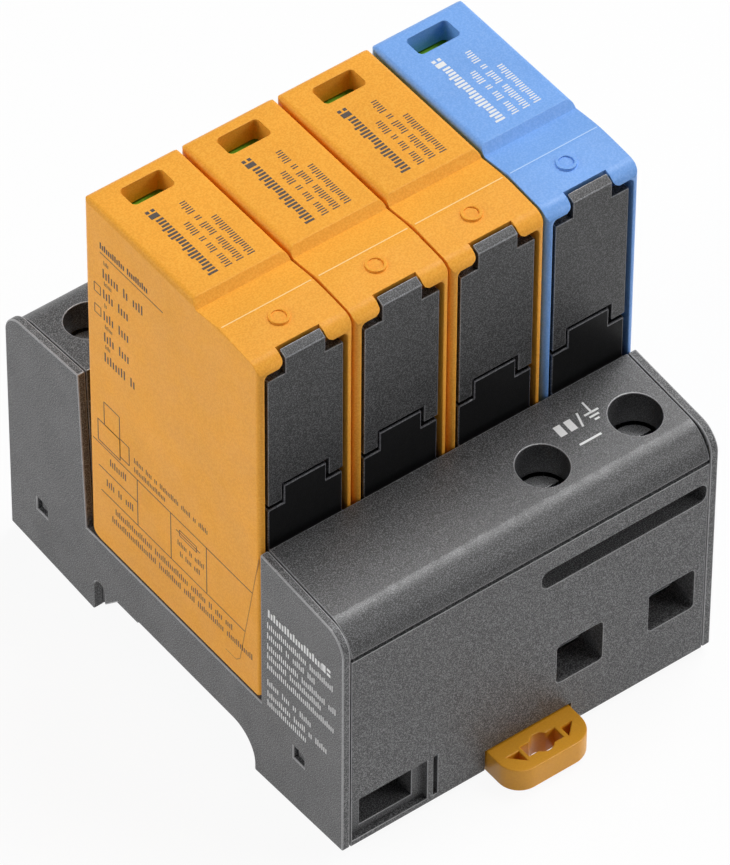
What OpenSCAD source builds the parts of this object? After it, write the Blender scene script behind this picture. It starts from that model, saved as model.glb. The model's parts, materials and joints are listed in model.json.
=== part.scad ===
// Pluggable surge arrester for a 35 mm mounting rail: a base with screw clamps and four plugs.
// X runs along the rail, -Y is the front with the rail foot, +Z points away from the rail.
// The origin lies on the rail's centre line, level with the tips of the base's two legs.

/* [Overall] */
// Width of one pole along the rail
pitch = 18; // [17.8:0.1:20]
// From the rail's centre line to the front face
front_reach = 43.5; // [43:0.5:48]
// From the rail's centre line to the back face
back_reach = 43.5; // [43:0.5:48]

/* [Base] */
// Height of the shoulders where they meet the plugs
shoulder_z = 50.3; // [49:0.1:54]
// Fall of the shoulders towards their outer edges, in degrees
shoulder_fall = 4.4; // [2:0.2:6]
// Rounding of the shoulders' outer edges
shoulder_round = 4.5; // [3:0.5:5.5]
// Height of the shoulder covers where they stand on the towers
hood_z = 43.5; // [42:0.1:44]
// Wall of the shoulder covers
hood_wall = 2.2; // [1.6:0.1:2.8]
// Height of the saddle that the plugs stand on
saddle_z = 17.1; // [16.5:0.1:19]
// Thickness of the side covers
cover_t = 1.5; // [1.2:0.1:2]
// Draft of the back tower's wall behind the plugs
back_draft = 1.4; // [0:0.1:2]
// Rise of the legs' undersides towards the outside
leg_rise = 1.3; // [0.8:0.1:1.6]

/* [Rail] */
// Width of the mounting rail
rail_w = 35; // [35:0.1:35.4]
// Thickness of the rail's flange
rail_t = 1; // [0.9:0.1:1.5]
// Height of the ribs that sit on the rail
seat_z = 3.6; // [3.4:0.1:4.2]
// Height of the recess between the legs
roof_z = 7; // [6.6:0.1:7.6]
// Inner face of the front leg, from the rail's centre line
front_leg_y = 21; // [20.5:0.1:22]
// Tip of the back leg, from the rail's centre line
back_leg_y = 21.3; // [21:0.1:22]
// Rounding between the front leg and the recess
leg_round = 5.5; // [3:0.5:6]

/* [Plugs] */
// Length of a plug across the rail
plug_l = 44.8; // [44.4:0.1:45.2]
// Height of a plug's top
plug_top_z = 91; // [88:0.5:96]
// Wall of a plug's shell
plug_wall = 1.6; // [1.4:0.1:2]
// Height of the step in a plug's top
step_h = 1.3; // [0.8:0.1:1.5]
// Length of the state window
window_l = 7.8; // [6:0.1:9]
// Width of the state window
window_w = 4.1; // [3:0.1:5]
// Length of the contact blades across the rail
blade_l = 6; // [5:0.5:7]
// Thickness of the contact blades
blade_t = 1; // [0.8:0.1:1.2]
// Travel of the state flag
flag_travel = 5.5; // [5:0.1:6]

/* [Release levers] */
// Width of a lever's plate
lever_w = 14; // [13.4:0.1:14.2]
// Thickness of a lever's plate
lever_t = 1.8; // [1.5:0.1:2]
// Width of a lever's tab
tab_w = 7.4; // [7:0.1:8.6]
// Height of the tab above the plate's shoulders
tab_h = 3.9; // [2.5:0.1:4]
// Height of the plate's lower edge
lever_low_z = 59; // [58:0.1:60]
// Width of the notch in the plate's lower edge
notch_w = 8.8; // [8:0.1:9.6]
// Depth of the notch in the plate's lower edge
notch_h = 3.5; // [3:0.1:4]
// Radius of the pivot pins
pivot_r = 1.2; // [1:0.1:1.4]

/* [Clamps] */
// Width of a wire entry
entry_w = 9; // [8:0.1:9.4]
// Height of a wire entry
entry_h = 8.6; // [8:0.1:9]
// Height of the lower edge of the wire entries
entry_z = 12; // [11.8:0.1:13]
// Radius of the screwdriver holes
hole_r = 4.25; // [4.1:0.05:4.5]
// From the plugs' side of a shoulder to the screwdriver holes
hole_inset = 10.4; // [10:0.1:11]
// Shift of the earth clamps along the rail
earth_shift = 0.8; // [0:0.1:1]
// Radius of the clamp screws
screw_r = 2.5; // [2.3:0.1:2.7]
// Radius of the clamp screws' heads
head_r = 3.9; // [3.6:0.1:4]
// Wall of the clamp cages
cage_t = 1.3; // [1.1:0.1:1.5]
// Thickness of the copper bars
bar_t = 2; // [1.6:0.1:2.2]
// Width of the copper bars
bar_w = 8; // [7:0.1:8.2]

/* [Rail foot] */
// Width of the foot
foot_w = 16.2; // [16:0.1:19]
// Thickness of the foot
foot_t = 4.6; // [4:0.1:5]
// Reach of the foot beyond the front face
foot_reach = 7; // [6:0.1:8]
// Travel of the foot
foot_travel = 3.5; // [3:0.1:4]

/* [Fits] */
// Gap between pieces that move past each other
gap = 0.3; // [0.25:0.01:0.35]
// Gap round pieces that sit still in a pocket
fit = 0.15; // [0.1:0.01:0.2]
// Gap between neighbouring plugs, and under them
plug_gap = 0.4; // [0.3:0.05:0.5]
// Gap between a plug and the towers
plug_play = 0.35; // [0.3:0.01:0.4]
// Play of the pivot pins in their holes
pivot_play = 0.08; // [0.05:0.01:0.1]

/* [Hidden] */
$fn = 48;
poles = [1, 2, 3, 4];
clamps = ["line_1", "line_2", "line_3", "neutral", "earth_1", "earth_2"];
plug_pieces = ["housing", "bottom", "blades", "spring", "flag", "lever"];

// Colours of the finishes
base_grey = [0.30, 0.30, 0.30];
hood_grey = [0.33, 0.33, 0.33];
black = [0.16, 0.16, 0.16];
orange = [0.95, 0.62, 0.17];
foot_orange = [0.93, 0.63, 0.12];
blue = [0.36, 0.56, 0.88];
green = [0.38, 0.62, 0.16];
copper = [0.80, 0.48, 0.32];
steel = [0.72, 0.73, 0.74];
zinc = [0.62, 0.63, 0.62];
coating = [0.69, 0.17, 0.13];
cream = [0.85, 0.82, 0.74];

// Cuts run this far past the faces that they open
past = 1;
// How far a shoulder's arc stands past the faces that it runs into
arc_bite = 0.02;
// Wall of the collars round the screwdriver holes
collar_t = 1.4;
// More than any height or depth of the object
far = 200;

// Base, along the rail
base_w = pitch * len(poles);
cover_x = base_w / 2;
core_x = cover_x - cover_t - fit;

// Base, across the rail
plug_y = plug_l / 2;
inner_y = plug_y + plug_play;
inner_wall = 2;
clamp_y = inner_y + hole_inset;

// Recess for the rail
flange_y = rail_w / 2;
hook_play = 0.3;
hook_top_z = seat_z - rail_t - hook_play;
hook_bite = 1.5;
hook_low_z = 0.3;
hook_end = 5;
hook_x = core_x - hook_end;
leg_tip_w = 0.3;
ramp_y = 14.7;
relief_w = 2.6;
relief_y = back_leg_y - leg_tip_w - relief_w / 2;
seat_l = 6;

// Snap windows in the side covers, on each tower
snap_w = 2.7;
snap_front = [-32.4, 13.1];
snap_back = [34.8, 11.4];
nub_h = 0.9;

// Copper bars and contact jaws
bar_in_y = inner_y + inner_wall + fit;
saddle_floor_t = 2;
bar_low_z = roof_z + saddle_floor_t;
bar_top_z = entry_z + entry_h + gap + bar_t;
tongue_l = 13;
jaw_t = 1;
jaw_x = blade_t / 2 + gap;
jaw_set = 1;
jaw_top_z = saddle_z - jaw_set;
bus_w = blade_l;
bus_cross_x = pitch;
bus_cross_w = 3;

// Clamp cages and screws
cage_w = entry_w + 2 * cage_t;
cage_d = 9;
cage_low_z = entry_z - cage_t;
cage_head_z = bar_top_z + 2 * gap;
cage_head_t = 3;
cage_top_z = cage_head_z + cage_head_t;
screw_tip_z = bar_top_z + gap;
head_h = 4;
head_z = hood_z - head_h - gap;
slot_w = 1.2;
slot_d = 1.6;
chamber_play = 0.4;
chamber_w = cage_w + 2 * chamber_play;
chamber_d = cage_d + 2 * chamber_play;
entry_round = 0.9;

// Slit and pocket in the front face
slit_l = 32;
slit_h = 3.8;
slit_z = 35.3;
slit_d = 4.6;
slit_round = 1.5;
slit_margin = 0.4;
slit_end_x = core_x - slit_margin;
pocket_w = 14.4;
pocket_h = 8.8;
pocket_z = 2.4;
pocket_d = 1.2;
pocket_margin = 0.3;
pocket_x = pocket_margin - core_x;
port_w = 10;
port_h = 6;
port_d = 12;
rib_w = 1.2;
rib_slot_w = 0.8;

// How much rounder the shoulder covers are than the side covers
hood_rounder = 1.6;

// Seam between tower and shoulder cover
seam_h = 0.8;
seam_d = 0.6;

// Plug shell
plug_w = pitch - plug_gap;
plug_x = plug_w / 2;
plug_low_z = saddle_z + plug_gap;
cavity_x = plug_x - plug_wall;
cavity_back_y = plug_y - plug_wall;
roof_t = 2.8;
step_y = -5.5;
ridge_y = -12.5;
ridge_rise = 0.7;
nose_fall = 0.8;
back_bottom_round = 3.5;
front_bottom_round = 1;
back_top_round = 2;
front_top_round = 2.4;
edge_round = 1.1;
back_edge_round = 2;
front_edge_round = 0.9;
shelf_z = plug_top_z - step_h;
window_y = 17.4;
window_round = 0.8;
window_d = 4.2;
window_frame_t = 1;
ring_y = -15.6;
ring_r = 1.7;
ring_w = 0.5;
ring_h = 0.35;

// Recess for the release lever in the front of a plug
lever_side_gap = 0.7;
lever_top_gap = 1.8;
slot_back_gap = 0.7;
recess_round = 1;
lip_round = 1.2;
pin_in = 0.4;
recess_x = lever_w / 2 + lever_side_gap;
lever_set = 0.2;
lever_y = -plug_y + lever_set;
pivot_in = 1;
pivot_y = lever_y + lever_t + pivot_in;
pivot_up = 5.2;
pivot_z = lever_low_z + pivot_up;
boss_r = 2;
recess_y = pivot_y + boss_r + gap;
recess_wall = 1.2;
tab_rise = 0.1;
lever_top_z = shelf_z + tab_rise - tab_h;
tab_t = 1.5;
tab_fall = 0.75;
cavity_front_y = recess_y + recess_wall;

// State flag, its guide ribs and its arm
flag_t = 1.2;
flag_top_z = plug_top_z - window_d - gap;
flag_x = cavity_x - gap;
flag_back_y = cavity_back_y - gap;
flag_stop = 0.8;
flag_front_y = cavity_front_y + flag_travel + flag_stop;
arm_w = 6;
arm_h = 15;
guide_t = 1;
guide_w = 1.6;

// Plug inside
bottom_t = 2;
bottom_back_y = plug_y - back_bottom_round;
blade_low_z = bar_low_z + bar_t + 2 * gap;
varistor_up = 9;
varistor_z = plug_low_z + varistor_up;
varistor_down = 5;
varistor_top_z = flag_top_z - flag_t - guide_t - varistor_down;
varistor_y = -6;
varistor_r = 2;
// From the front wall of the hollow to the front blade
blade_in = 1.7;
blade_y = -cavity_front_y - blade_in - blade_l / 2;
leaf_w = 6;
leaf_t = 0.8;
leaf_y = -blade_y - leaf_t / 2;
leaf_up = 28;
leaf_bend_z = varistor_z + leaf_up;
leaf_pad_h = 7;
blade_top_z = varistor_z;
gas_r = 6;
cap_h = 3;

// Catches in front of the plugs
catch_x = lever_w / 2;
catch_set = 0.3;
catch_t = 1.7;
catch_low_z = 40;
catch_gap = 1;
catch_top_z = lever_low_z - catch_gap;
catch_side_gap = 0.4;
catch_tab_w = notch_w - 2 * catch_side_gap;
catch_head_gap = 0.8;
catch_tab_z = lever_low_z + notch_h - catch_head_gap;

// Rail foot
foot_z = 0.8;
foot_round = 4;
foot_set = 3;
foot_in_y = -front_leg_y - foot_set;
nose_w = 12;
nose_top_z = hook_top_z;
runner_w = 1.2;
guide_x = foot_w / 2 + runner_w;
foot_rail_h = 1.4;
foot_rail_up = 1.5;
foot_rail_z = foot_z + foot_rail_up;
foot_rail_l = 12;
driver_l = 6.6;
driver_w = 2.2;
driver_r = 1.9;
foot_front_y = -front_reach - foot_reach;
driver_in = 3.6;
driver_y = foot_front_y + driver_in;
notch_in = 4;
notch_back = 0.6;
notch_l = 2.1;

function pole_x(k) = (k - (len(poles) + 1) / 2) * pitch;
function is_earth(i) = i >= len(poles);
function clamp_x(i) = is_earth(i) ? pole_x(i - 1) + earth_shift : pole_x(i + 1);
function nose_at(y) = shelf_z + ridge_rise - nose_fall * (ridge_y - y) / (ridge_y + plug_y);
function shoulder_at(u) = shoulder_z - (u - inner_y) * tan(shoulder_fall);

// An outline in Y and Z, drawn out along X
module along_x(x0, x1) {
    translate([x0, 0, 0]) rotate([90, 0, 90]) linear_extrude(x1 - x0) children();
}

// An outline in X and Z, drawn out along Y
module along_y(y0, y1) {
    translate([0, y1, 0]) rotate([90, 0, 0]) linear_extrude(y1 - y0) children();
}

// A box between two corners
module block(low, high) {
    translate(low) cube(high - low);
}

// What a rounding takes off a square corner; sx and sy point out of the corner
module corner_off(x, y, r, sx, sy) {
    difference() {
        polygon([[x + sx * past, y + sy * past], [x - sx * r, y + sy * past],
                 [x - sx * r, y - sy * r], [x + sx * past, y - sy * r]]);
        translate([x - sx * r, y - sy * r]) circle(r);
    }
}

// A rectangle about its middle with round corners
module round_rect(w, h, r) {
    square([w - 2 * r, h], center = true);
    square([w, h - 2 * r], center = true);
    for (sx = [-1, 1], sy = [-1, 1])
        translate([sx * (w / 2 - r), sy * (h / 2 - r)]) circle(r);
}

// What the rounding takes off a shoulder's outer edge
module shoulder_off(reach, round) {
    inner_round = round - arc_bite;
    middle_u = reach - inner_round;
    middle = [middle_u, shoulder_at(middle_u) - inner_round / cos(shoulder_fall)];
    on_top = middle + inner_round * [sin(shoulder_fall), cos(shoulder_fall)];
    difference() {
        polygon([on_top, middle, [reach + past, middle[1]], [reach + past, shoulder_z + past],
                 [on_top[0], shoulder_z + past]]);
        translate(middle) circle(round);
    }
}

// The base seen from its side, without the recess for the rail's edge
module base_outline() {
    difference() {
        union() {
            polygon([
                [-front_reach, leg_rise], [-front_leg_y, 0], [-front_leg_y, roof_z], [ramp_y, roof_z],
                [back_leg_y, 0], [back_reach, leg_rise], [back_reach, shoulder_at(back_reach)],
                [inner_y + back_draft, shoulder_at(inner_y + back_draft)], [inner_y, saddle_z],
                [-inner_y, saddle_z], [-inner_y, shoulder_z], [-front_reach, shoulder_at(front_reach)]
            ]);
            difference() {
                translate([-front_leg_y, roof_z - leg_round]) square(leg_round);
                translate([leg_round - front_leg_y, roof_z - leg_round]) circle(leg_round);
            }
        }
        mirror([1, 0]) shoulder_off(front_reach, shoulder_round);
        shoulder_off(back_reach, shoulder_round);
        relief();
    }
}

// The round-topped slot beside the back leg's tip
module relief() {
    translate([relief_y, roof_z - relief_w / 2]) circle(relief_w / 2);
    translate([relief_y - relief_w / 2, -past]) square([relief_w, roof_z - relief_w / 2 + past]);
}

// The part of the outline that a shoulder cover takes; side is -1 at the front, 1 at the back
module hood_zone(side, reach) {
    difference() {
        intersection() {
            base_outline();
            translate([side < 0 ? -far : 0, hood_z]) square(far);
        }
        mirror([side < 0 ? 1 : 0, 0]) shoulder_off(reach, shoulder_round + hood_rounder);
    }
}

// The hollow under a shoulder cover
module hood_hollow(side, reach) {
    low_u = inner_y + hood_wall + (side > 0 ? back_draft : 0);
    high_u = reach - hood_wall;
    mirror([side < 0 ? 1 : 0, 0])
        polygon([
            [low_u, hood_z - past], [high_u, hood_z - past],
            [high_u, shoulder_at(reach) - shoulder_round],
            [reach - shoulder_round, shoulder_at(reach - shoulder_round) - hood_wall],
            [low_u, shoulder_at(low_u) - hood_wall]
        ]);
}

// Places a shape made for the back tower at one of the clamps
module at_clamp(i) {
    translate([clamp_x(i), 0, 0]) mirror([0, is_earth(i) ? 1 : 0, 0]) children();
}

// The seam round a tower's outer edge, half in the tower and half in the cover
module seam(side, reach) {
    y = side * reach;
    block([-far, y - seam_d, hood_z - seam_h / 2], [far, y + seam_d, hood_z + seam_h / 2]);
}

// A shoulder cover with its screwdriver holes
module hood(side, reach, list) {
    difference() {
        union() {
            difference() {
                along_x(-core_x, core_x) hood_zone(side, reach);
                along_x(hood_wall - core_x, core_x - hood_wall) hood_hollow(side, reach);
            }
            intersection() {
                along_x(-core_x, core_x) hood_zone(side, reach);
                for (i = list) at_clamp(i)
                    translate([0, clamp_y, hood_z]) cylinder(r = hole_r + collar_t, h = far);
            }
        }
        for (i = list) at_clamp(i) translate([0, clamp_y, hood_z - past]) cylinder(r = hole_r, h = far);
        seam(side, reach);
    }
}

module front_hood() {
    color(hood_grey) hood(-1, front_reach, [4, 5]);
}

module back_hood() {
    color(hood_grey) hood(1, back_reach, [0, 1, 2, 3]);
}

// The clamp bar of one terminal on the back tower: tongue and riser
module clamp_bar(grow, top) {
    block([-bar_w / 2 - grow, bar_in_y - grow, bar_low_z - grow],
          [bar_w / 2 + grow, bar_in_y + bar_t + grow, top]);
    block([-bar_w / 2 - grow, bar_in_y - grow, bar_top_z - bar_t - grow],
          [bar_w / 2 + grow, bar_in_y + tongue_l + grow, top]);
}

// The foot of a clamp bar, from the riser in to the jaw
module bar_foot(grow, top) {
    block([-bar_w / 2 - grow, blade_y - blade_l / 2 - grow, bar_low_z - grow],
          [bar_w / 2 + grow, bar_in_y + bar_t + grow, top]);
}

// The two fingers that hold a plug's blade
module jaw() {
    for (s = [-1, 1])
        translate([s * (jaw_x + jaw_t / 2), blade_y, (bar_low_z + bar_t + jaw_top_z) / 2])
            cube([jaw_t, blade_l, jaw_top_z - bar_low_z - bar_t], center = true);
}

// The strips of the neutral bus, seen from above
module bus_plan(grow) {
    cross_low_x = bus_cross_x - bus_cross_w / 2;
    cross_high_x = bus_cross_x + bus_cross_w / 2;
    outer_y = blade_y + bus_w / 2;
    strip_y = blade_y - bus_w / 2;
    for (edge = [
        [[pole_x(1) - bus_w / 2, -outer_y], [cross_high_x, -strip_y]],
        [[cross_low_x, -outer_y], [cross_high_x, outer_y]],
        [[cross_low_x, strip_y], [pole_x(4), outer_y]]
    ])
        translate(edge[0] - [grow, grow]) square(edge[1] - edge[0] + 2 * [grow, grow]);
}

// The strip between the two earth clamps, seen from above
module earth_plan(grow) {
    translate([clamp_x(4) - bar_w / 2 - grow, -bar_in_y - bar_t - grow])
        square([clamp_x(5) - clamp_x(4) + bar_w + 2 * grow, bar_t + 2 * grow]);
}

module line_bar(k) {
    color(copper) at_clamp(k - 1) {
        clamp_bar(0, bar_top_z);
        bar_foot(0, bar_low_z + bar_t);
        jaw();
    }
}

module neutral_bus() {
    color(copper) {
        at_clamp(3) {
            clamp_bar(0, bar_top_z);
            bar_foot(0, bar_low_z + bar_t);
            jaw();
        }
        translate([0, 0, bar_low_z]) linear_extrude(bar_t) bus_plan(0);
        for (k = [1, 2, 3]) translate([pole_x(k), 0, 0]) mirror([0, 1, 0]) jaw();
    }
}

module earth_bar() {
    color(copper) {
        for (i = [4, 5]) at_clamp(i) clamp_bar(0, bar_top_z);
        translate([0, 0, bar_low_z]) linear_extrude(bar_t) earth_plan(0);
        translate([pole_x(4), 0, 0]) mirror([0, 1, 0]) {
            bar_foot(0, bar_low_z + bar_t);
            jaw();
        }
    }
}

// Pockets that the copper bars are laid into from above
module bar_pockets() {
    for (i = [0 : 5]) at_clamp(i) clamp_bar(fit, far);
    for (i = [0 : 3]) at_clamp(i) bar_foot(fit, hood_z + past);
    translate([pole_x(4), 0, 0]) mirror([0, 1, 0]) bar_foot(fit, hood_z + past);
    translate([0, 0, bar_low_z - fit]) linear_extrude(far) bus_plan(fit);
    translate([0, 0, bar_low_z - fit]) linear_extrude(far) earth_plan(fit);
}

// The chamber of one clamp, open at the top, with its wire entry
module clamp_chamber(reach) {
    block([-chamber_w / 2, clamp_y - chamber_d / 2, cage_low_z - gap],
          [chamber_w / 2, clamp_y + chamber_d / 2, far]);
    translate([0, 0, entry_z + entry_h / 2])
        along_y(clamp_y, reach + past) round_rect(entry_w, entry_h, entry_round);
}

// The way that the rail foot slides in
module foot_way() {
    block([-foot_w / 2 - gap, -far, -past],
          [foot_w / 2 + gap, -front_leg_y + leg_round, foot_z + foot_t + gap]);
    block([-guide_x - gap, foot_in_y - foot_rail_l - foot_travel - gap, foot_rail_z - gap],
          [guide_x + gap, foot_in_y + gap, foot_rail_z + foot_rail_h + gap]);
}

// Slit and pocket in the front face
module front_openings() {
    translate([slit_end_x - slit_l / 2, 0, slit_z + slit_h / 2])
        along_y(-front_reach - past, -front_reach + slit_d) round_rect(slit_l, slit_h, slit_round);
    block([pocket_x, -front_reach - past, pocket_z],
          [pocket_x + pocket_w, -front_reach + pocket_d, pocket_z + pocket_h]);
    port_x = pocket_x + (pocket_w - port_w) / 2;
    port_z = pocket_z + (pocket_h - port_h) / 2;
    block([port_x, -front_reach - past, port_z], [port_x + port_w, -front_reach + port_d, port_z + port_h]);
    rib_x = pocket_x + pocket_w + rib_w;
    block([rib_x, -front_reach - past, pocket_z],
          [rib_x + rib_slot_w, -front_reach + pocket_d, pocket_z + pocket_h]);
}

// The base between the side covers: towers up to the shoulder covers, and the saddle
module core_outline() {
    difference() {
        union() {
            base_outline();
            translate([flange_y + hook_play - seat_l, seat_z]) square([seat_l, roof_z - seat_z]);
        }
        translate([-far, hood_z]) square([2 * far, far]);
        translate([flange_y + hook_play, hook_top_z])
            square([back_leg_y - flange_y - hook_play - leg_tip_w, seat_z - hook_top_z]);
        translate([ramp_y - past, -past]) square([back_leg_y - ramp_y + past - leg_tip_w, seat_z + past]);
    }
}

module base_housing() {
    color(base_grey) difference() {
        union() {
            along_x(-core_x, core_x) core_outline();
            // The fixed hook under the rail's flange
            block([-hook_x, flange_y - hook_bite, hook_low_z], [hook_x, back_leg_y + past, hook_top_z]);
            // The ribs that sit on the rail beside the foot
            for (s = [-1, 1])
                mirror([s < 0 ? 1 : 0, 0, 0])
                    block([foot_w / 2 + gap, -flange_y - hook_play, seat_z],
                          [hook_x, -flange_y - hook_play + seat_l, roof_z + past]);
            // The nubs that hold the side covers
            for (s = [-1, 1], spot = [snap_front, snap_back])
                translate([s * core_x, spot[0], spot[1]])
                    cube([2 * nub_h, snap_w - 2 * gap, snap_w - 2 * gap], center = true);
        }
        bar_pockets();
        for (i = [0 : 5]) at_clamp(i) clamp_chamber(is_earth(i) ? front_reach : back_reach);
        foot_way();
        front_openings();
        seam(-1, front_reach);
        seam(1, back_reach);
    }
}

// A side cover, made for the left end
module side_cover() {
    difference() {
        along_x(-cover_x, -cover_x + cover_t) base_outline();
        for (spot = [snap_front, snap_back])
            translate([-cover_x, spot[0], spot[1]]) cube([4 * cover_t, snap_w, snap_w], center = true);
    }
}

module left_side_cover() {
    color(base_grey) side_cover();
}

module right_side_cover() {
    color(base_grey) mirror([1, 0, 0]) side_cover();
}

// The catches stand on the front tower's inner wall, one before each plug
module plug_catches() {
    color(black) for (k = poles) translate([pole_x(k), 0, 0]) {
        block([-catch_x, -inner_y, catch_low_z], [catch_x, lever_y + catch_t, shoulder_z - 2 * gap]);
        block([-catch_x, -plug_y + catch_set, catch_low_z], [catch_x, lever_y + catch_t, catch_top_z]);
        block([-catch_tab_w / 2, -plug_y + catch_set, catch_low_z],
              [catch_tab_w / 2, lever_y + catch_t, catch_tab_z]);
    }
}

module rail_foot() {
    color(foot_orange) difference() {
        union() {
            // The tongue with its round front
            translate([0, 0, foot_z]) linear_extrude(foot_t) difference() {
                translate([-foot_w / 2, foot_front_y]) square([foot_w, foot_in_y - foot_front_y]);
                for (s = [-1, 1]) corner_off(s * foot_w / 2, foot_front_y, foot_round, s, -1);
            }
            // The nose under the rail's flange
            block([-nose_w / 2, foot_in_y - past, foot_z], [nose_w / 2, -flange_y + hook_bite, nose_top_z]);
            // The runners in the base's grooves
            block([-guide_x, foot_in_y - foot_rail_l, foot_rail_z],
                  [guide_x, foot_in_y, foot_rail_z + foot_rail_h]);
        }
        // The hole for the screwdriver
        translate([-driver_l / 2, driver_y - driver_w / 2, 0]) cube([driver_l, driver_w, far]);
        translate([0, driver_y, 0]) cylinder(r = driver_r, h = far);
        // The notches beside it
        for (s = [-1, 1])
            translate([s * (foot_w / 2 - notch_in), driver_y + notch_back, 0]) linear_extrude(far)
                polygon([[0, 0], [s * notch_l, 0], [0, -notch_l]]);
    }
}

// A clamp screw made for the back tower
module clamp_screw() {
    translate([0, clamp_y, 0]) difference() {
        union() {
            translate([0, 0, screw_tip_z]) cylinder(r = screw_r, h = head_z - screw_tip_z);
            translate([0, 0, head_z]) cylinder(r = head_r, h = head_h);
        }
        translate([-head_r - past, -slot_w / 2, head_z + head_h - slot_d])
            cube([2 * (head_r + past), slot_w, far]);
    }
}

// A clamp cage made for the back tower: open towards the wire and the bar
module clamp_cage() {
    translate([0, clamp_y, 0]) difference() {
        block([-cage_w / 2, -cage_d / 2, cage_low_z], [cage_w / 2, cage_d / 2, cage_top_z]);
        block([-entry_w / 2, -cage_d, entry_z], [entry_w / 2, cage_d, cage_head_z]);
        translate([0, 0, entry_z]) cylinder(r = screw_r + gap, h = far);
    }
}

// A plug seen from its side
module plug_side() {
    difference() {
        polygon([
            [-plug_y, plug_low_z], [plug_y, plug_low_z], [plug_y, plug_top_z], [step_y, plug_top_z],
            [step_y - step_h, shelf_z], [ridge_y, shelf_z + ridge_rise], [-plug_y, nose_at(-plug_y)]
        ]);
        corner_off(plug_y, plug_low_z, back_bottom_round, 1, -1);
        corner_off(-plug_y, plug_low_z, front_bottom_round, -1, -1);
        corner_off(plug_y, plug_top_z, back_top_round, 1, 1);
        corner_off(-plug_y, nose_at(-plug_y), front_top_round, -1, 1);
    }
}

// A plug seen from above
module plug_plan() {
    difference() {
        translate([-plug_x, -plug_y]) square([plug_w, plug_l]);
        for (s = [-1, 1]) {
            corner_off(s * plug_x, plug_y, back_edge_round, s, 1);
            corner_off(s * plug_x, -plug_y, front_edge_round, s, -1);
        }
    }
}

// A plug seen from the front
module plug_front() {
    difference() {
        translate([-plug_x, plug_low_z]) square([plug_w, plug_top_z - plug_low_z]);
        for (s = [-1, 1]) corner_off(s * plug_x, plug_top_z, edge_round, s, 1);
    }
}

module plug_shell() {
    difference() {
        union() {
            intersection() {
                along_x(-plug_x, plug_x) plug_side();
                translate([0, 0, plug_low_z]) linear_extrude(far) plug_plan();
                along_y(-plug_y, plug_y) plug_front();
            }
            translate([0, ring_y, shelf_z]) difference() {
                cylinder(r = ring_r, h = nose_at(ring_y) + ring_h - shelf_z);
                translate([0, 0, -past]) cylinder(r = ring_r - ring_w, h = far);
            }
        }
        // The hollow and its narrower mouth
        difference() {
            block([-cavity_x, cavity_front_y, plug_low_z + bottom_t],
                  [cavity_x, cavity_back_y, plug_top_z - roof_t]);
            for (s = [-1, 1])
                translate([s * cavity_x, 0, flag_top_z - flag_t - gap - guide_t / 2])
                    cube([2 * guide_w, plug_l, guide_t], center = true);
            block([-cavity_x, bottom_back_y, 0], [cavity_x, plug_y, plug_low_z + back_bottom_round]);
            // The frame under the state window
            frame_x = window_l / 2 + window_frame_t;
            frame_y = window_w / 2 + window_frame_t;
            block([-frame_x, window_y - frame_y, plug_top_z - window_d],
                  [frame_x, window_y + frame_y, plug_top_z]);
        }
        block([-cavity_x, cavity_front_y, 0], [cavity_x, bottom_back_y, plug_low_z + back_bottom_round]);
        // The recess for the lever, open at the bottom and the front, and its notch for the tab
        recess_top_z = lever_top_z + lever_top_gap;
        along_y(-far, recess_y) difference() {
            translate([-recess_x, 0]) square([2 * recess_x, recess_top_z]);
            for (s = [-1, 1]) corner_off(s * recess_x, recess_top_z, recess_round, s, 1);
        }
        slot_x = tab_w / 2 + gap;
        slot_y = lever_y + tab_t + slot_back_gap;
        block([-slot_x, -far, lever_top_z], [slot_x, slot_y, far]);
        along_y(-far, slot_y)
            for (s = [-1, 1]) corner_off(s * slot_x, recess_top_z, lip_round, -s, -1);
        // The holes for the lever's pivot pins
        translate([-plug_x + plug_wall / 3, pivot_y, pivot_z]) rotate([0, 90, 0])
            cylinder(r = pivot_r + pivot_play, h = plug_w - 2 * plug_wall / 3);
        // The state window
        translate([0, window_y, plug_top_z - window_d - past]) linear_extrude(far)
            round_rect(window_l, window_w, window_round);
    }
}

module plug_housing(k) {
    color(k < len(poles) ? orange : blue) translate([pole_x(k), 0, 0]) plug_shell();
}

module plug_bottom(k) {
    color(black) translate([pole_x(k), 0, 0]) difference() {
        block([-cavity_x + fit, cavity_front_y + fit, plug_low_z],
              [cavity_x - fit, bottom_back_y - fit, plug_low_z + bottom_t]);
        for (s = [-1, 1])
            translate([0, s * blade_y, plug_low_z])
                cube([blade_t + fit, blade_l + fit, 3 * bottom_t], center = true);
    }
}

module plug_blades(k) {
    color(copper) translate([pole_x(k), 0, 0])
        for (s = [-1, 1])
            block([-blade_t / 2, s * blade_y - blade_l / 2, blade_low_z],
                  [blade_t / 2, s * blade_y + blade_l / 2, blade_top_z]);
}

// The varistor block of a line plug
module plug_varistor(k) {
    color(coating) translate([pole_x(k), 0, varistor_z]) linear_extrude(varistor_top_z - varistor_z)
        translate([0, (varistor_y + flag_back_y) / 2])
            round_rect(2 * flag_x, flag_back_y - varistor_y, varistor_r);
}

// The gas-filled spark gap of the neutral plug, in its carrier
module plug_spark_gap(k) {
    spark_y = (varistor_y + flag_back_y) / 2;
    color(cream) translate([pole_x(k), spark_y, varistor_z]) {
        linear_extrude(cap_h) round_rect(2 * flag_x, flag_back_y - varistor_y, varistor_r);
        cylinder(r = gas_r, h = varistor_top_z - varistor_z);
        translate([0, 0, varistor_top_z - varistor_z - cap_h]) linear_extrude(cap_h)
            round_rect(2 * flag_x, flag_back_y - varistor_y, varistor_r);
    }
}

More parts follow.
